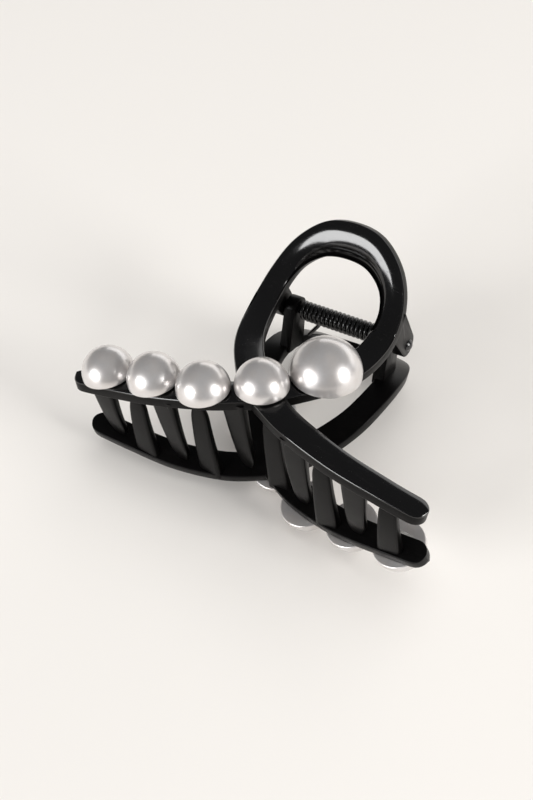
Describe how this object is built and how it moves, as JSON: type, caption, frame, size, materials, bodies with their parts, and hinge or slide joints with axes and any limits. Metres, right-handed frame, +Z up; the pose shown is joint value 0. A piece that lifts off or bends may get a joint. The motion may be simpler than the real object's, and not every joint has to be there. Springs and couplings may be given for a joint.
{
  "type": "claw clip",
  "caption": "Hair claw clip with two crossed-band halves that flare into finger loops, interleaved teeth, a sprung hinge pin and a row of flat-backed pearls.",
  "frame": {"origin": "on the table below the middle of the resting clip's outline", "axes": "+X along the hinge pin and the legs, +Y towards the finger loops, +Z up from the table; the clip lies on its side"},
  "size_m": [0.088, 0.0616, 0.0463],
  "materials": {
    "moulded_black": "glossy moulded black with satin teeth",
    "black_steel": "black coated steel",
    "spring_wire": "black coated spring wire",
    "pearl": "silvery white pearl coating",
    "glue": "clear adhesive"
  },
  "bodies": {
    "lower": {"lower_half": "moulded_black", "hinge_pin": "black_steel", "torsion_spring": "spring_wire", "lower_pearl_1": "pearl", "lower_pearl_2": "pearl", "lower_pearl_3": "pearl", "lower_pearl_4": "pearl", "lower_pearl_large": "pearl", "lower_glue": "glue"},
    "upper": {"upper_half": "moulded_black", "upper_pearl_1": "pearl", "upper_pearl_2": "pearl", "upper_pearl_3": "pearl", "upper_pearl_4": "pearl", "upper_pearl_large": "pearl", "upper_glue": "glue"}
  },
  "joints": [
    {"name": "hinge", "type": "hinge", "parent": "lower", "child": "upper", "pos_m": [0, 0.01809, 0.02257], "axis": [-0.9925, 0.0057, -0.1217], "range_deg": [0, 80], "stiffness_Nm_per_rad": 0.06, "springref_deg": -34.38, "deforming": ["torsion_spring"]}
  ]
}
